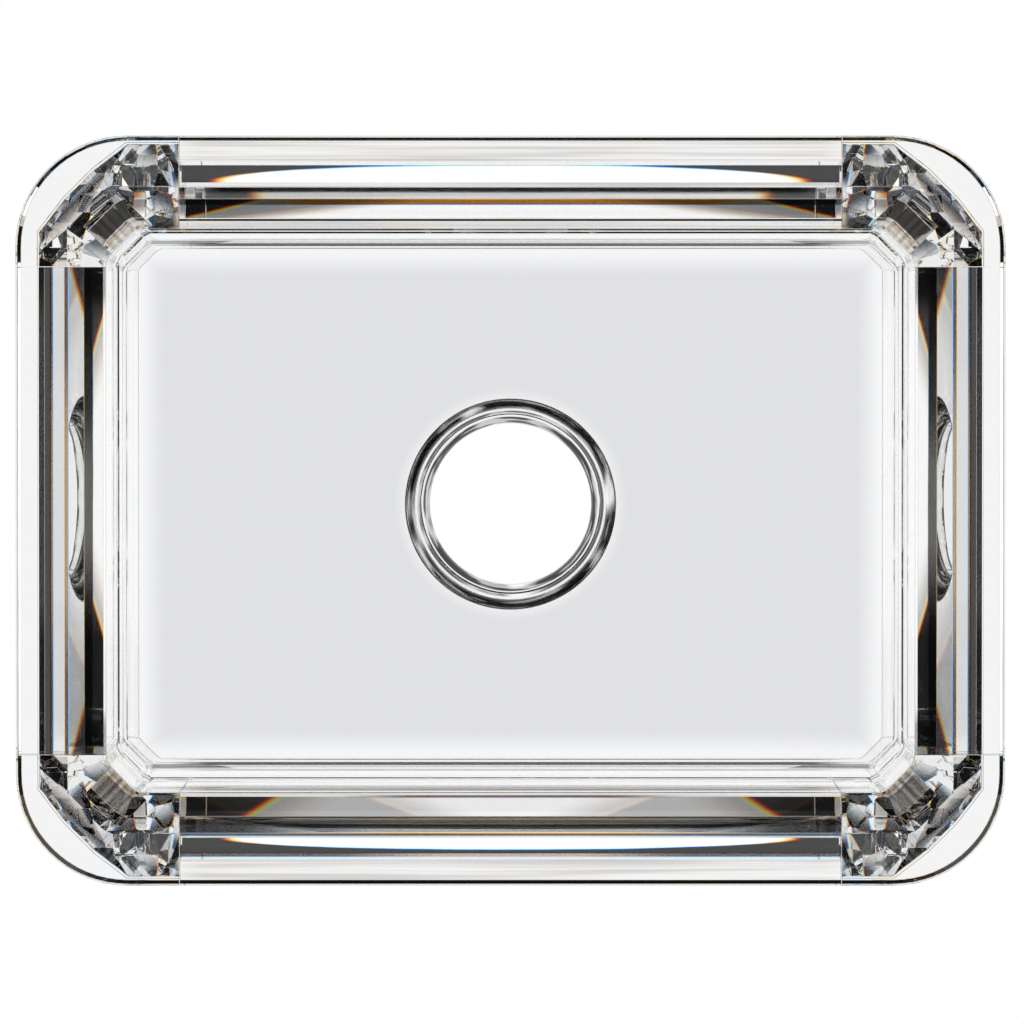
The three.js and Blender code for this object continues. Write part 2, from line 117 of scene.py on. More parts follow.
RIPPLE = 0.012 * MM  # height of the long ripples, then of the short ones
FINE_RIPPLE = RIPPLE * 0.05
LONG_RIPPLES = (9.0, 1.5)  # scale and detail of a noise
SHORT_RIPPLES = (60.0, 1.0)
STRIAE_NOISE = (16.0, 2.0)
ARRIS_NOISE = (34.0, 1.0)
ARRIS_TURN = (0.38, 0.62)  # values of that noise between which gold turns into blue
CLEAR = (0.985, 0.99, 1.0)  # tint of clear crystal, and how its striae change it
STRIAE = (0.012, 0.006, -0.012)
ARRIS_RED = (0.4, 0.55)  # on the arrises' painted fringes: the least, and how much more of it there is in gold
ARRIS_GREEN = 0.62
ARRIS_BLUE = (0.25, 0.6)  # the least, and how much more of it there is in blue
FRINGE = 0.25 * MM  # how far red and blue part at the edge of a dark line
STREAK_RANGE = (0.35, 0.65)  # from this to that value of the noise, a streak goes from none to whole

# The slab's tint: a painted shade, with painted light near the walls and round the drain, and a painted
# dark line.
PAINTED_FLOOR_SHADE = 0.83
FLOOR_HUE = (0.992, 0.998, 1.012)
FLOOR_EDGE = (11 * MM, 26 * MM)  # distances from the walls between which painted light turns into the painted shade
HALO = (66 * MM, 59 * MM)  # distances from the axis between which a ring of painted light comes up round the drain
HALO_LIGHT = 0.5
LINE_NEAR = CAVITY_Y - 8.0 * MM  # the painted dark line along the foot of the skirt, at the front and back, a painted refraction
LINE_FAR = CAVITY_Y - 6.6 * MM
LINE_SOFT = 0.2 * MM
LINE_DEPTH = 0.97
LINE_TOP = (30 * MM, 31 * MM)  # heights between which it ends upwards
LINE_ENDS = (0.165, 0.195)  # |x| between which it fades out

# Painted refractions, dark rings on the collar: the radii of their two edges, and how softly they end.
SHOULDER_RING = (53.4 * MM, 58.8 * MM, 0.35 * MM)
THROAT_RING = (45.2 * MM, 48.8 * MM, 0.35 * MM)
RIM_RING = (58.1 * MM, 58.9 * MM, 0.2 * MM)
RING_FOOT = (3 * MM, 4 * MM)  # heights above the slab's underside between which they begin
RING_DEPTH = 0.93
SWIRL_TURN = 1.7  # how often their streaks change round the axis
SWIRL_FINE = 620  # and across a ring, to a metre: thin streaks, and the broad gaps in them
SWIRL_BROAD = 90
SWIRL_SHIFT = 7  # keeps the two patterns apart
SWIRL_THIN = (0.40, 0.52)  # values of the noise between which a thin streak comes up, and a gap ends
SWIRL_GAP = (0.32, 0.44)
SWIRL_LEAST = 0.38  # how dark a ring is between its thin streaks, and how much darker within them
SWIRL_MORE = 0.62

# The walls' tint: painted reflections. It lies on their top faces, where the light from the camera's side
# enters them.
TOP_EDGE = 0.5 * MM  # how softly it ends just below them
LINE_EDGE = 0.25 * MM
LINE_HUE = 0.2  # how much the darkness of a line differs in red and blue, in the middle of the wall
WEDGE_X = (0.2298, 0.2368)  # painted reflections, black wedges at the ends of the side walls: the |x| of their two sides
WEDGE_Y = (0.1058, 0.1317)  # and the |y| at which they start there
WEDGE_EDGE = 0.4 * MM
WEDGE_SOFT = (-5 * MM, 3 * MM)  # distances from that start between which they come up
WEDGE_FRINGE = 3 * MM  # how far red and blue part there
WEDGE_DEPTH = 0.9

# The corner blocks' tint, painted reflections, and the bumps of their kites. They too lie on the top faces.
KITES = 92  # to a metre
KITE_SHIFT = (11.4, 8.2)  # which part of the endless pattern of kites it is
KITE_LEAN = 0.75  # how much their faces lean
KITE_FRINGE = 0.4 * MM
KITE_TONES = (0.52, 0.92, 0.9)  # two values of a cell, between which it turns dark, and how dark it becomes
CELL_SLOPE = 1.2  # how much that value changes across a cell
FLANK = (0.3915, 0.4050, 0.5 * MM)  # |x| + |y| of the outer flank, which has shards, and how softly it ends
SHARDS = (130, 26)  # to a metre, across and along the flank
SHARD_TONES = (0.25, 0.8, 0.93)
TABLE_ACROSS = (0.353, 0.3835)  # |x| + |y| of the broad facet between the kites
TABLE_ALONG = (0.040, 0.077)  # and its |x| - |y|
TABLE_EDGE = 0.15 * MM
TABLE_STREAKS = (14, 150)  # to a metre, across and along it
TABLE_FRINGE = 0.015  # of a streak's value
TABLE_DEPTH = 0.42  # of its streaks
TABLE_SHADE = 0.12  # of all of it, and how much that differs in red and blue
TABLE_HUE = 0.01
TABLE_FRONT = 0.28  # how much darker the painted reflection is in the two front blocks

# Painted reflections, as dark lines in the top faces of the walls: their two edges, how dark they are in the
# middle of the wall and towards its ends, and the two distances from the middle between which that changes.
# Across the front and back walls:
END_LINES = [
    (0.1649, 0.1678, 0.86, 0.70, 0.10, 0.15),
    (-0.1550, -0.1534, 0.85, 0.0, 0.05, 0.10),
    (-0.1685, -0.1668, 0.70, 0.70, 0.05, 0.10),
    (-0.1742, -0.1664, 0.0, 0.90, 0.07, 0.15),
    (-0.1756, -0.1743, 0.85, 0.85, 0.05, 0.10),
    (-0.1869, -0.1848, 0.46, 0.82, 0.03, 0.10),
]
# Across the side walls:
SIDE_LINES = [
    (0.2188, 0.2302, 0.0, 0.60, 0.105, 0.118),
    (0.2255, 0.2299, 0.22, 0.78, 0.015, 0.060),
    (0.2385, 0.2406, 0.60, 0.86, 0.030, 0.100),
    (0.2468, 0.2484, 0.70, 0.85, 0.030, 0.100),
]

# ---------------------------------------------------------------- studio
CAMERA_DISTANCE = 4.6
CAMERA_TILT = math.radians(1.3)
PHOTO_FRAME = 1024  # pixels
RIM_SCALE = 1857  # pixels of the photograph to a metre, at the rim
SENSOR = 36  # mm
OUTLINE_CENTRE = (510.5, 511)  # of the sink's outline, in pixels of the photograph
SHEET_X = 0.325  # half sizes of the white sheet under the sink
SHEET_Y = 0.245
TONGUE_X = 0.147  # it runs on to the front and back in a narrower tongue
TONGUE_Y = 0.38
SHEET_EDGE = 0.012
SHADE_Y = (0.150, 0.158)  # |y| between which faint streaks on it come up, below the front and back walls
SHADE_X = (0.195, 0.17)  # and |x| between which they come up
SHADE_GRAIN = (5, 300, 1)  # streaks to a metre each way
SHADE_FRINGE = 0.01
SHADE_DEPTH = 0.3
# Dark spots on the sheet below the side walls: the middle's distance from the axes, and the half sizes.
SPOT = (0.2345, 0.078, 0.0055, 0.036)
SPOT_RANGE = (1.2, 0.8)  # distances from its middle, in half sizes, between which it comes up
SPOT_FRINGE = 0.16
STAGE_SIZE = 8
STAGE_DROP = 2 * MM  # the floor lies this far below the sink's foot
DARK = 0.006  # the dark room, and the screens' ground
GREY = 0.085  # the screens' upper part, which the outer facets mirror, and the floor beyond the sheet
GREY_FROM = (0.235, 0.245)  # heights between which the screens' ground turns grey
GLOW = 1.22
SCREEN_Y = 0.6  # how far the screens stand from the centre: at the front and back, then at the sides
SCREEN_X = 0.7
SCREEN_HEIGHT = 1.1
SPREAD_ACROSS = 0.018  # how far red and blue part at the edge of a lit shape, as a share of its size
SPREAD_UP = 0.05
SKY_LIGHT = 0.95  # of the four soft lights above
SKY_TURN = (0.62, 0.45)  # the lesser of |x| and |y| over the greater, between which a light comes up
SKY_LOW = (0.40, 0.50)  # heights in the sky between which they begin and end
SKY_HIGH = (0.95, 0.85)
LIGHT_BOUNCES = 24
GLOSSY_BOUNCES = 16

# Lit shapes on the screens. The facets at the back mirror the front screen, and those at the front the back
# screen. Ellipses: the middle's height and the half sizes.
FRONT_ARCHES = [(0.2420, 0.184, 0.0104)]
BACK_ARCHES = [(0.2770, 0.178, 0.0070)]
ARCH_RANGE = (1.03, 0.97)  # distances from its middle, in half sizes, between which it comes up
SHAPE_EDGE = 0.4 * MM  # how softly beams and bands end below and above
# Beams: the heights of the lower and upper edge, then layers of light that add up. Each layer has its half
# widths at the two edges, its light at its own border, and how much more there is FADE further in.
FADE = 0.05
BEAM_BORDER = (-2 * MM, 5 * MM)  # distances in from a border between which its light comes up
BEAM_GILT = (1 * MM, 7 * MM, 3 * MM)  # a coloured strip along it: its two edges, and how softly they end
BEAM_OVERLAP = 2 * MM  # how far it reaches below its lower edge
GILDING = {-1: 0.6, 0: 0.35, 1: 0.0}  # how much the border is lit up in red, green and blue
FRONT_BEAM = (0.1467, 0.1566, [(0.2004, 0.160, 0.19, 0.05), (0.168, 0.088, 0.08, 0.64)])
BACK_BEAM = (0.180, 0.192, [(0.197, 0.173, 0.012, 0.012), (0.152, 0.171, 0.22, 0.2), (0.09, 0.06, 0.14, 0.3)])
SIDE_BEAM = (0.1965, 0.2070, [(0.120, 0.083, 0.45, 0.5)])
# Bands that run along a screen: lower and upper edge, half width and how softly it ends, and light.
FRONT_BANDS = [(0.105, 0.128, 0.30, 0.01, 0.9)]
BACK_BANDS = [(0.070, 0.088, 0.30, 0.01, 0.9), (0.55, 1.1, 0.09, 0.05, 0.14)]
SIDE_BANDS = [
    (0.078, 0.092, 0.100, 0.03, 0.9),
    (0.207, 0.2169, 0.070, 0.035, 0.12),
    (0.2295, 0.2345, 0.30, 0.01, 0.95),
    (0.36, 1.1, 0.112, 0.02, 1.0),
]


class Value:
    """A socket of a shader tree. Arithmetic on it adds Math nodes."""

    def __init__(self, tree, socket):
        self.tree = tree
        self.socket = socket

    def _math(self, operation, *others):
        return self.tree.add("ShaderNodeMath", {"operation": operation}, [self, *others])[0]

    def __add__(self, other):
        return self._math("ADD", other)

    __radd__ = __add__

    def __mul__(self, other):
        return self._math("MULTIPLY", other)

    __rmul__ = __mul__

    def __sub__(self, other):
        return self._math("SUBTRACT", other)

    def __rsub__(self, other):
        return self.tree.add("ShaderNodeMath", {"operation": "SUBTRACT"}, [other, self])[0]

    def __truediv__(self, other):
        return self._math("DIVIDE", other)

    def __pow__(self, other):
        return self._math("POWER", other)

    def absolute(self):
        return self._math("ABSOLUTE")

    def root(self):
        return self._math("SQRT")

    def sine(self):
        return self._math("SINE")

    def rise(self, start, end):
        """From 0 to 1 as the value goes from start to end, with soft ends."""
        return self.tree.pick("ShaderNodeMapRange", "Result", {"interpolation_type": "SMOOTHSTEP"}, {
            "Value": self, "From Min": start, "From Max": end})

    def between(self, low, high, edge):
        """1 where the value lies between low and high, 0 outside, with edges soft by edge to each side."""
        return self.rise(low - edge, low + edge) * (1 - self.rise(high - edge, high + edge))

    def highest(self, other):
        return self._math("MAXIMUM", other)

    def lowest(self, other):
        return self._math("MINIMUM", other)


class Tree:
    """A material's or the world's node tree, emptied and filled again."""

    def __init__(self, owner):
        owner.use_nodes = True
        self.nodes = owner.node_tree.nodes
        self.links = owner.node_tree.links
        self.nodes.clear()

    def add(self, kind, settings=None, inputs=None):
        """A new node's outputs. Inputs are a list in order or a dict by name, of numbers or Values."""
        node = self.nodes.new(kind)
        for name, value in (settings or {}).items():
            setattr(node, name, value)
        pairs = enumerate(inputs) if isinstance(inputs, list) else (inputs or {}).items()
        for key, value in pairs:
            if isinstance(value, Value):
                self.links.new(value.socket, node.inputs[key])
            elif value is not None:
                node.inputs[key].default_value = value
        return [Value(self, output) for output in node.outputs]

    def pick(self, kind, output, settings=None, inputs=None):
        """One output of a new node, by name."""
        return next(v for v in self.add(kind, settings, inputs) if v.socket.name == output)

    def place(self):
        """The point on the object, as x, y and z."""
        point = self.pick("ShaderNodeTexCoord", "Object")
        return self.add("ShaderNodeSeparateXYZ", {}, [point])

    def colour(self, red, green, blue):
        return self.add("ShaderNodeCombineColor", {}, [red, green, blue])[0]

    def noise(self, scale, detail=2.0, stretch=(1, 1, 1)):
        """Noise from 0 to 1 over the object."""
        point = self.pick("ShaderNodeTexCoord", "Object")
        point = self.pick("ShaderNodeMapping", "Vector", {}, {"Vector": point, "Scale": stretch})
        return self.pick("ShaderNodeTexNoise", "Fac", {}, {"Vector": point, "Scale": scale, "Detail": detail})


# ---------------------------------------------------------------- materials
def crystal(name, tint, relief=None):
    """Polished clear crystal, with the faint ripples that hand polishing leaves. tint, the colour with any
    painted reflections and shade, and relief, the height of a pattern of bumps, are functions of the tree."""
    material = bpy.data.materials.new(name)
    tree = Tree(material)
    height = tree.noise(*LONG_RIPPLES) * RIPPLE + tree.noise(*SHORT_RIPPLES) * FINE_RIPPLE
    if relief:
        height = height + relief(tree)
    shader = tree.pick("ShaderNodeBsdfPrincipled", "BSDF", {}, {
        "Base Color": tint(tree),
        "Roughness": 0.0,
        "IOR": CRYSTAL_IOR,
        "Transmission Weight": 1.0,
        "Normal": tree.pick("ShaderNodeBump", "Normal", {}, {"Height": height, "Distance": 1.0}),
    })
    tree.add("ShaderNodeOutputMaterial", {}, {"Surface": shader})
    return material


def parted(tree, light):
    """A colour whose red, green and blue come from light(part), with part -1, 0 and 1."""
    return tree.colour(*(light(part) for part in (-1, 0, 1)))


def clear_tint(tree):
    """Almost white, with faint cool and warm striae."""
    striae = tree.noise(*STRIAE_NOISE)
    return tree.colour(*(clear + striae * change for clear, change in zip(CLEAR, STRIAE)))


def painted_reflection_lines(across, along, lines, part):
    """How dark the painted reflection lines are at a point. Red and blue part at their edges and differ in
    the middle.
    """
    shade = 0
    for low, high, middle, end, near, far in lines:
        middle *= 1 + part * LINE_HUE
        depth = along.rise(near, far) * (end - middle) + middle
        strip = across.between(low + part * FRINGE, high + part * FRINGE, LINE_EDGE) * depth
        shade = strip.highest(shade)
    return shade


def on_top(z):
    """1 on the top faces of the walls and corner blocks, and 0 below them."""
    return z.rise(WALL_TOP - 2 * TOP_EDGE, WALL_TOP - TOP_EDGE)


def wall_painted_reflections(tree):
    """Clear, with painted reflections: dark lines along it, like those that the arrises of a cut wall draw."""
    x, y, z = tree.place()
    x, top = x.absolute(), on_top(z)
    return parted(tree, lambda part: (1 - painted_reflection_lines(y, x, END_LINES, part) * top) ** 2)


def side_painted_reflections(tree):
    """Like the other walls, with a black wedge at each end over the steep facet, as a painted reflection."""
    x, y, z = tree.place()
    x, y, top = x.absolute(), y.absolute(), on_top(z)
    share = (x - WEDGE_X[0]) / (WEDGE_X[1] - WEDGE_X[0])
    start = share * (WEDGE_Y[1] - WEDGE_Y[0]) + WEDGE_Y[0]
    reach = (x - WEDGE_X[0]).rise(-WEDGE_EDGE, WEDGE_EDGE)

    def level(part):
        shift = part * WEDGE_FRINGE
        wedge = (y - start).rise(WEDGE_SOFT[0] - shift, WEDGE_SOFT[1] - shift) * reach * WEDGE_DEPTH
        return (1 - painted_reflection_lines(x, y, SIDE_LINES, part).highest(wedge) * top) ** 2
    return parted(tree, level)


def cut_cells(tree, across, along):
    """Straight-edged cells: each one's value, from 0 to 1, and a slope from its one side to the other."""
    point = tree.add("ShaderNodeCombineXYZ", {}, [across, along, 0.0])[0]
    cells = tree.add("ShaderNodeTexVoronoi", {"voronoi_dimensions": "2D"}, {"Vector": point, "Scale": 1.0})
    named = {cell.socket.name: cell for cell in cells if cell.socket.enabled}
    tone, lean, _ = tree.add("ShaderNodeSeparateColor", {}, [named["Color"]])
    middle_x, middle_y, _ = tree.add("ShaderNodeSeparateXYZ", {}, [named["Position"]])
    slope = (across - middle_x) * (lean - 0.5) + (along - middle_y) * (tone - 0.5)
    return tone, slope


def kites(tree, x, y):
    """The cells of the kites, which tint and relief share."""
    return cut_cells(tree, x * KITES + KITE_SHIFT[0], y * KITES + KITE_SHIFT[1])


def table(x, y):
    """1 on the broad facet of a corner block."""
    return (x + y).between(*TABLE_ACROSS, TABLE_EDGE) * (x - y).between(*TABLE_ALONG, TABLE_EDGE)


def corner_relief(tree):
    """The face of each kite leans its own way, and the broad facet is level."""
    x, y, z = tree.place()
    x, y = x.absolute(), y.absolute()
    _, slope = kites(tree, x, y)
    return slope * (1 - table(x, y)) * on_top(z) * (KITE_LEAN / KITES)


def cell_shade(value, slope, tones):
    """How dark a cell's painted reflection is: two values between which it turns dark, and how dark it
    becomes, are in tones.
    """
    light, dark, depth = tones
    return (value + slope * CELL_SLOPE).rise(light, dark) * depth


def corner_painted_reflections(tree):
    """Clear, with painted reflections: the brilliant cut's dark kites, a streaked broad facet, and slim shards
    along the flank.
    """
    x, y, z = tree.place()
    front = y.rise(1 * MM, -1 * MM)
    x, y, top = x.absolute(), y.absolute(), on_top(z)
    flank = (x + y).between(*FLANK)
    stretched = [(x + y) * TABLE_STREAKS[0], (x - y) * TABLE_STREAKS[1], 0.0]
    point = tree.add("ShaderNodeCombineXYZ", {}, stretched)[0]
    streaks = tree.pick("ShaderNodeTexNoise", "Fac", {}, {"Vector": point, "Scale": 1.0, "Detail": 1.0})
    broad = table(x, y)

    def level(part):
        shard_cells = cut_cells(tree, (x + y + part * FRINGE) * SHARDS[0], (x - y) * SHARDS[1])
        face = cell_shade(*kites(tree, x + part * KITE_FRINGE, y), KITE_TONES)
        edge = cell_shade(*shard_cells, SHARD_TONES)
        none, whole = (value - part * TABLE_FRINGE for value in STREAK_RANGE)
        even = TABLE_SHADE + part * TABLE_HUE
        wide = streaks.rise(none, whole) * TABLE_DEPTH + front * TABLE_FRONT + even
        plain = face * (1 - flank) + edge * flank
        return (1 - (plain * (1 - broad) + wide * broad) * top) ** 2
    return parted(tree, level)


def arris_painted_fringes(tree):
    """Painted colour fringes, gold and blue by turns, as if the eased edges parted the light."""
    hue = tree.noise(*ARRIS_NOISE).rise(*ARRIS_TURN)
    red = (1 - hue) * ARRIS_RED[1] + ARRIS_RED[0]
    blue = hue * ARRIS_BLUE[1] + ARRIS_BLUE[0]
    return tree.colour(red, ARRIS_GREEN, blue)


def floor_painted_shade_and_light(tree):
    """Painted shade, the slab's grey, lighter by painted light towards the walls and the drain, with a painted
    dark line at the foot of its skirt.
    """
    x, y, z = tree.place()
    reach = (x * x + y * y).root()
    to_side = CAVITY_X - x.absolute()
    to_end = CAVITY_Y - y.absolute()
    light = 1 - to_side.lowest(to_end).rise(*FLOOR_EDGE)
    halo = reach.rise(*HALO) * HALO_LIGHT
    foot = y.absolute().between(LINE_NEAR, LINE_FAR, LINE_SOFT) * (1 - z.rise(*LINE_TOP))
    line = foot * (1 - x.absolute().rise(*LINE_ENDS)) * LINE_DEPTH
    level = (PAINTED_FLOOR_SHADE + light.highest(halo) * (1 - PAINTED_FLOOR_SHADE)) * ((1 - line) ** 2)
    return tree.colour(*(level * hue for hue in FLOOR_HUE))


def collar_painted_refractions(tree):
    """Clear, with painted refractions: dark rings on the rounded shoulder and throat, broken into long
    streaks.
    """
    x, y, z = tree.place()
    reach = (x * x + y * y).root()
    turn = tree.pick("ShaderNodeMath", "Value", {"operation": "ARCTAN2"}, [y, x])
    across = turn.sine() * SWIRL_TURN
    along = (turn + math.pi / 2).sine() * SWIRL_TURN
    swirl = tree.pick("ShaderNodeTexNoise", "Fac", {}, {
        "Vector": tree.add("ShaderNodeCombineXYZ", {}, [across, along, reach * SWIRL_FINE])[0],
        "Scale": 1.0, "Detail": 2.0, "Roughness": 0.55})
    broad = tree.pick("ShaderNodeTexNoise", "Fac", {}, {
        "Vector": tree.add("ShaderNodeCombineXYZ", {}, [across, along, reach * SWIRL_BROAD + SWIRL_SHIFT])[0],
        "Scale": 1.0, "Detail": 1.0})
    rings = reach.between(*SHOULDER_RING) + reach.between(*THROAT_RING)
    upper = z.rise(*(SLAB_LOW.z + height for height in RING_FOOT))
    streaks = (swirl.rise(*SWIRL_THIN) * SWIRL_MORE + SWIRL_LEAST) * broad.rise(*SWIRL_GAP)
    dark = (rings * streaks).highest(reach.between(*RIM_RING)) * upper * RING_DEPTH
    level = (1 - dark) ** 2
    return tree.colour(level, level, level)


# ---------------------------------------------------------------- pieces
def flat_mesh(node):
    """A copy of a CAD node's mesh whose loose triangles are joined again into whole facets."""
    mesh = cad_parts[node].data.copy()
    body = bmesh.new()
    body.from_mesh(mesh)
    bmesh.ops.remove_doubles(body, verts=body.verts, dist=WELD)
    bmesh.ops.dissolve_limit(body, angle_limit=FLAT, verts=body.verts, edges=body.edges)
    close_joints(body)
    weigh_edges(body)
    for face in body.faces:
        face.smooth = False
    body.to_mesh(mesh)
    body.free()
    return mesh


def on_joint(vertex):
    """Which joint planes a vertex lies on, as the axes they cross."""
    near = 2 * BOND_GAP
    return [axis for axis, plane in ((0, JOINT_X), (1, JOINT_Y)) if abs(abs(vertex.co[axis]) - plane) < near]


def close_joints(body):
    """Moves the bonded faces towards each other."""
    for vertex in body.verts:
        for axis in on_joint(vertex):
            plane = (JOINT_X, JOINT_Y)[axis]
            outside = abs(vertex.co[axis]) > plane + WELD
            shift = -JOINT_CLOSING if outside else JOINT_CLOSING
            vertex.co[axis] += math.copysign(shift, vertex.co[axis])


def weigh_edges(body):
    """Bevel weights: whole on a cut edge, less on the edge of a joint, none where facets hardly turn."""
    weight = body.edges.layers.float.new("bevel_weight_edge")
    for edge in body.edges:
        if len(edge.link_faces) != 2 or edge.calc_face_angle(0.0) < ARRIS_ANGLE:
            continue
        first, second = (on_joint(v) for v in edge.verts)
        edge[weight] = JOINT_ARRIS if set(first) & set(second) else 1.0


def dress(piece, material, slot, *nodes):
    """Gives a piece its material and body, and hides the CAD nodes that it stands for. slot is not used."""
    piece.data.materials.clear()
    piece.data.materials.append(material)
    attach(piece, "root")
    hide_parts(*nodes)
    return piece


def polished(node, material, slot):
    """A cut piece with its edges eased, in place of its CAD node."""
    piece = bpy.data.objects.new(f"cut_{node}", flat_mesh(node))
    bpy.context.scene.collection.objects.link(piece)
    bevel = piece.modifiers.new("arris", "BEVEL")
    bevel.width = ARRIS
    bevel.segments = ARRIS_STEPS
    bevel.limit_method = "WEIGHT"
    bevel.use_clamp_overlap = True
    bevel.material = 1
    dress(piece, material, slot, node)
    piece.data.materials.append(arris_crystal)
    return piece


def ring_body(name, rings, smooth_below):
    """A closed body round the Z axis through rings of equally many points, each counter-clockwise from above.
    The rings go round the section clockwise as it is seen with the axis on its left."""
    count = len(rings[0])
    points = [point for ring in rings for point in ring]
    faces = []
    for i in range(len(rings)):
        start, following = i * count, ((i + 1) % len(rings)) * count
        for j in range(count):
            k = (j + 1) % count
            faces.append((start + j, start + k, following + k, following + j))
    mesh = bpy.data.meshes.new(name)
    mesh.from_pydata(points, [], faces)
    body = bmesh.new()
    body.from_mesh(mesh)
    bmesh.ops.recalc_face_normals(body, faces=body.faces)
    for face in body.faces:
        face.smooth = True
    for edge in body.edges:
        edge.smooth = edge.calc_face_angle(0.0) < smooth_below
    body.to_mesh(mesh)
    body.free()
    piece = bpy.data.objects.new(name, mesh)
    bpy.context.scene.collection.objects.link(piece)
    return piece


def cavity_ring(height, inset_x, inset_y):
    """The basin's outline moved inwards, at a height, finely divided."""
    half_x, half_y = CAVITY_X - inset_x, CAVITY_Y - inset_y
    leg = CORNER_LEG - (2 - math.sqrt(2)) * (inset_x + inset_y) / 2
    half_chord = leg / math.sqrt(2)
    bulge = leg * CORNER_BULGE
    radius = (half_chord**2 + bulge**2) / (2 * bulge)
    middle = leg / 2 + (radius - bulge) / math.sqrt(2)
    reach = math.asin(half_chord / radius)
    arc = []  # from the side along x to the side along y, measured from the corner
    for share in CORNER_SHARES:
        angle = 1.25 * math.pi + reach * (1 - 2 * share)
        arc.append((middle + radius * math.cos(angle), middle + radius * math.sin(angle)))
    corners = []
    for side_x, side_y in ((1, -1), (1, 1), (-1, 1), (-1, -1)):
        placed = [(side_x * (half_x - x), side_y * (half_y - y)) for x, y in arc]
        corners.extend(placed if side_x * side_y < 0 else reversed(placed))
    ring = []
    for i, start in enumerate(corners):
        end = corners[(i + 1) % len(corners)]
        cuts = SIDE_CUTS["y" if i % 8 == 3 else "x"] if i % 4 == 3 else SIDE_CUTS["corner"]
        run_x, run_y = end[0] - start[0], end[1] - start[1]
        for j in range(cuts):
            share = j / cuts
            ring.append((start[0] + run_x * share, start[1] + run_y * share, height))
    return ring


def circle_like(ring, radius, height):
    """A circle whose points lie in the same directions as a ring's."""
    return [tuple(Vector((x, y)).normalized() * radius) + (height,) for x, y, _ in ring]


def floor_slab(material):
    """The slab, as rings down the skirt's inside, over the cove, through the drain and back up outside."""
    floor = SLAB_HIGH.z - SKIRT_HEIGHT - COVE_RISE
    drain = floor - FALL
    lip = BOND_GAP + SKIRT_LIP
    foot_x = lip + DRAFT_SIDES
    foot_y = lip + DRAFT_ENDS
    rings = [cavity_ring(SLAB_HIGH.z, BOND_GAP, BOND_GAP), cavity_ring(SLAB_HIGH.z, lip, lip)]
    for i in range(COVE_STEPS, -1, -1):
        angle = i / COVE_STEPS * math.pi / 2
        along = 1 - math.sin(angle)
        height = floor + COVE_RISE * (1 - math.cos(angle))
        rings.append(cavity_ring(height, foot_x + COVE_SIDES * along, foot_y + COVE_ENDS * along))
    wide = COLLAR_HIGH.x + BOND_GAP
    narrow = COLLAR_BODY + BOND_GAP
    foot = rings[-1]
    rings += [
        circle_like(foot, wide, drain),
        circle_like(foot, narrow, drain - (wide - narrow)),
        circle_like(foot, narrow, SLAB_LOW.z),
        cavity_ring(SLAB_LOW.z, BOND_GAP + SLAB_ARRIS, BOND_GAP + SLAB_ARRIS),
        cavity_ring(SLAB_LOW.z + SLAB_ARRIS, BOND_GAP, BOND_GAP),
    ]
    piece = ring_body("cut_floor_slab", rings, SLAB_SMOOTH)
    return dress(piece, material, "crystal_floor", "floor_slab")


def quarter_round(centre, height, radius):
    """Points of a collar's rounding, from above its centre to the side nearer the axis."""
    angles = [math.pi / 2 * (1 + i / ROUND_STEPS) for i in range(ROUND_STEPS + 1)]
    return [(centre + radius * math.cos(a), height + radius * math.sin(a)) for a in angles]


def drain_collar(material):
    """The collar, turned from its profile."""
    top, low, outer = COLLAR_HIGH.z, COLLAR_LOW.z, COLLAR_HIGH.x
    seat_height = top - SHOULDER_ROUND
    profile = [
        (outer, top),
        *quarter_round(SEAT + SHOULDER_ROUND, seat_height, SHOULDER_ROUND),
        *quarter_round(BORE + THROAT_ROUND, seat_height - THROAT_ROUND, THROAT_ROUND),
        (BORE, low + COLLAR_ARRIS),
        (BORE + COLLAR_ARRIS, low),
        (COLLAR_BODY - COLLAR_ARRIS, low),
        (COLLAR_BODY, low + COLLAR_ARRIS),
        (COLLAR_BODY, top - (outer - COLLAR_BODY)),
    ]
    turns = [2 * math.pi * i / COLLAR_STEPS for i in range(COLLAR_STEPS)]
    rings = [[(r * math.cos(a), r * math.sin(a), z) for a in turns] for r, z in profile]
    piece = ring_body("cut_drain_collar", rings, COLLAR_SMOOTH)
    return dress(piece, material, "crystal_collar", "drain_collar")


# ---------------------------------------------------------------- studio
def glowing(name, light):
    """A material that only gives light, with light a function of its tree that returns a colour."""
    material = bpy.data.materials.new(name)
    tree = Tree(material)
    glow = tree.pick("ShaderNodeEmission", "Emission", {}, {"Color": light(tree), "Strength": 1.0})
    tree.add("ShaderNodeOutputMaterial", {}, {"Surface": glow})
    return material


def staged(name, points, material, shows_to_camera=False):
    """A flat panel of the studio."""
    mesh = bpy.data.meshes.new(name)
    mesh.from_pydata(points, [], [(0, 1, 2, 3)])
    mesh.materials.append(material)
    piece = bpy.data.objects.new(name, mesh)
    bpy.context.scene.collection.objects.link(piece)
    piece.visible_camera = shows_to_camera
    return piece


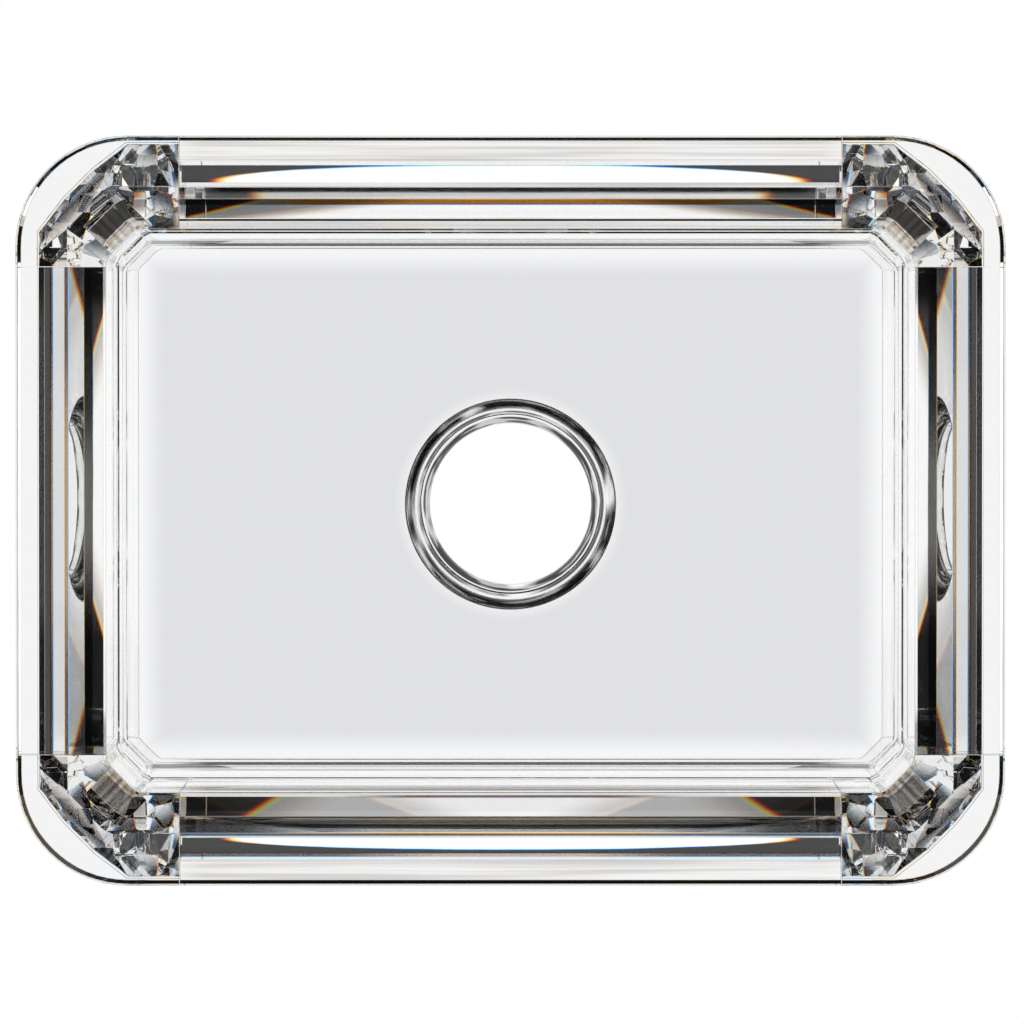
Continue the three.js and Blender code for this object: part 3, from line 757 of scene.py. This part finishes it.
def sheet_light(tree):
    """White to the camera. Glass and gloss see a white sheet under the sink, and dark grey beyond it."""
    x, y, _ = tree.place()
    x, y = x.absolute(), y.absolute()
    under = x.rise(SHEET_X + SHEET_EDGE, SHEET_X) * y.rise(SHEET_Y + SHEET_EDGE, SHEET_Y)
    camera = tree.pick("ShaderNodeLightPath", "Is Camera Ray")
    streaks = tree.noise(1.0, 2.0, SHADE_GRAIN)
    below_walls = y.rise(*SHADE_Y) * x.rise(*SHADE_X)
    across, along = (x - SPOT[0]) / SPOT[2], (y - SPOT[1]) / SPOT[3]

    def light(part):
        side = TONGUE_X * (1 - part * SPREAD_ACROSS)
        tongue = x.rise(side + SHEET_EDGE, side) * y.rise(TONGUE_Y + SHEET_EDGE, TONGUE_Y)
        clear, dark = (value + part * SPOT_FRINGE for value in SPOT_RANGE)
        spot = (across * across + along * along).root().rise(clear, dark)
        none, whole = (value - part * SHADE_FRINGE for value in STREAK_RANGE)
        shade = streaks.rise(none, whole) * below_walls * SHADE_DEPTH
        level = under.highest(tongue) * (1 - GREY) * (1 - spot) * (1 - shade) + GREY
        return camera.highest(level)
    return parted(tree, light)


def lay_stage():
    """The studio's floor, with the white sheet on it."""
    half = STAGE_SIZE / 2
    corners = [(x, y, -STAGE_DROP) for x, y in ((-half, -half), (half, -half), (half, half), (-half, half))]
    staged("stage_floor", corners, glowing("white_sheet", sheet_light), shows_to_camera=True)


def hang_world():
    """Four soft lights, one above each side of the sink, in a dark room. The camera sees plain white."""
    world = bpy.data.worlds.new("studio")
    bpy.context.scene.world = world
    tree = Tree(world)
    direction = tree.pick("ShaderNodeTexCoord", "Generated")
    x, y, z = tree.add("ShaderNodeSeparateXYZ", {}, [direction])
    x, y = x.absolute(), y.absolute()
    turned = x.lowest(y) / (x.highest(y) + 0.001)
    level = DARK + SKY_LIGHT * turned.rise(*SKY_TURN) * z.rise(*SKY_LOW) * z.rise(*SKY_HIGH)
    sky = tree.pick("ShaderNodeBackground", "Background", {}, {"Color": tree.colour(level, level, level)})
    backdrop = tree.pick("ShaderNodeBackground", "Background", {}, {"Color": (1, 1, 1, 1), "Strength": 1.0})
    camera = tree.pick("ShaderNodeLightPath", "Is Camera Ray")
    both = tree.pick("ShaderNodeMixShader", "Shader", {}, [camera, sky, backdrop])
    tree.add("ShaderNodeOutputWorld", {}, {"Surface": both})


def arch(x, z, shape, part):
    """Light inside an ellipse. Red reaches further to the sides and blue further up."""
    middle, half_width, half_height = shape
    across = x / (half_width * (1 - part * SPREAD_ACROSS))
    up = (z - middle) / (half_height * (1 + part * SPREAD_UP))
    return (across * across + up * up).root().rise(*ARCH_RANGE)


def beam(x, z, shape, part):
    """Light inside a trapezoid, in layers."""
    low, high, layers = shape
    share = (z - low) / (high - low)
    light = 0
    for at_low, at_high, border, further in layers:
        inside = (share * (at_high - at_low) + at_low) * (1 - part * SPREAD_ACROSS) - x
        golden = inside.between(*BEAM_GILT) * GILDING[part]
        light = (inside.rise(*BEAM_BORDER) + golden) * border + inside.rise(0, FADE) * further + light
    return light * z.between(low - BEAM_OVERLAP, high, SHAPE_EDGE)


def band(x, z, shape, part):
    """Light in a strip along the screen."""
    low, high, half_width, soft, light = shape
    side = half_width * (1 - part * SPREAD_ACROSS)
    return x.rise(side + soft, side - soft) * z.between(low, high, SHAPE_EDGE) * light


def screen_light(arches, beams, bands):
    """The light on a screen, as a function of its material's tree."""
    def light(tree):
        x, _, z = tree.place()
        x = x.absolute()
        ground = z.rise(*GREY_FROM) * (GREY - DARK) + DARK

        def of_part(part):
            level = ground
            for ellipse in arches:
                level = level.highest(arch(x, z, ellipse, part) * GLOW)
            for trapezoid in beams:
                level = level.highest(beam(x, z, trapezoid, part) * GLOW)
            for strip in bands:
                level = level.highest(band(x, z, strip, part) * GLOW)
            return level
        return parted(tree, of_part)
    return light


def stand_screen(name, turn, distance, light):
    """A screen that stands beside the sink and faces it, twice as wide as it is far from the centre. Its own
    x runs along it and its z up."""
    outline = ((-distance, 0), (distance, 0), (distance, SCREEN_HEIGHT), (-distance, SCREEN_HEIGHT))
    screen = staged(name, [(x, 0, z) for x, z in outline], glowing(f"{name}_light", light))
    screen.matrix_world = Matrix.Rotation(turn, 4, "Z") @ Matrix.Translation((0, -distance, 0))


def set_camera():
    """The photograph's camera, almost straight above."""
    data = bpy.data.cameras.new("camera")
    data.sensor_width = SENSOR
    data.lens = RIM_SCALE * CAMERA_DISTANCE / PHOTO_FRAME * SENSOR
    data.shift_x = (PHOTO_FRAME / 2 - OUTLINE_CENTRE[0]) / PHOTO_FRAME
    data.shift_y = (OUTLINE_CENTRE[1] - PHOTO_FRAME / 2) / PHOTO_FRAME
    camera = bpy.data.objects.new("camera", data)
    camera.location = (
        0,
        CAMERA_DISTANCE * math.sin(CAMERA_TILT),
        RIM_TOP + CAMERA_DISTANCE * math.cos(CAMERA_TILT),
    )
    camera.rotation_euler = (-CAMERA_TILT, 0, 0)
    bpy.context.scene.collection.objects.link(camera)
    bpy.context.scene.camera = camera


rim_crystal = crystal("rim_crystal", clear_tint)
wall_crystal = crystal("wall_crystal", wall_painted_reflections)
side_crystal = crystal("side_crystal", side_painted_reflections)
corner_crystal = crystal("corner_crystal", corner_painted_reflections, corner_relief)
floor_crystal = crystal("floor_crystal", floor_painted_shade_and_light)
collar_crystal = crystal("collar_crystal", collar_painted_refractions)
arris_crystal = crystal("arris_crystal", arris_painted_fringes)

for side in ("front", "back", "left", "right"):
    polished(f"{side}_rim_bar", rim_crystal, "crystal_rim")
    polished(f"{side}_wall", wall_crystal if side in ("front", "back") else side_crystal, "crystal_wall")
for corner in ("front_left", "front_right", "back_left", "back_right"):
    polished(f"{corner}_rim_corner", rim_crystal, "crystal_rim")
    polished(f"{corner}_corner_block", corner_crystal, "crystal_corner")
floor_slab(floor_crystal)
drain_collar(collar_crystal)

scene = bpy.context.scene
scene.view_settings.view_transform = "Standard"
scene.cycles.max_bounces = LIGHT_BOUNCES
scene.cycles.transmission_bounces = LIGHT_BOUNCES
scene.cycles.glossy_bounces = GLOSSY_BOUNCES
lay_stage()
hang_world()
stand_screen("front_screen", 0, SCREEN_Y, screen_light(FRONT_ARCHES, [FRONT_BEAM], FRONT_BANDS))
stand_screen("back_screen", math.pi, SCREEN_Y, screen_light(BACK_ARCHES, [BACK_BEAM], BACK_BANDS))
stand_screen("left_screen", -math.pi / 2, SCREEN_X, screen_light([], [SIDE_BEAM], SIDE_BANDS))
stand_screen("right_screen", math.pi / 2, SCREEN_X, screen_light([], [SIDE_BEAM], SIDE_BANDS))
set_camera()
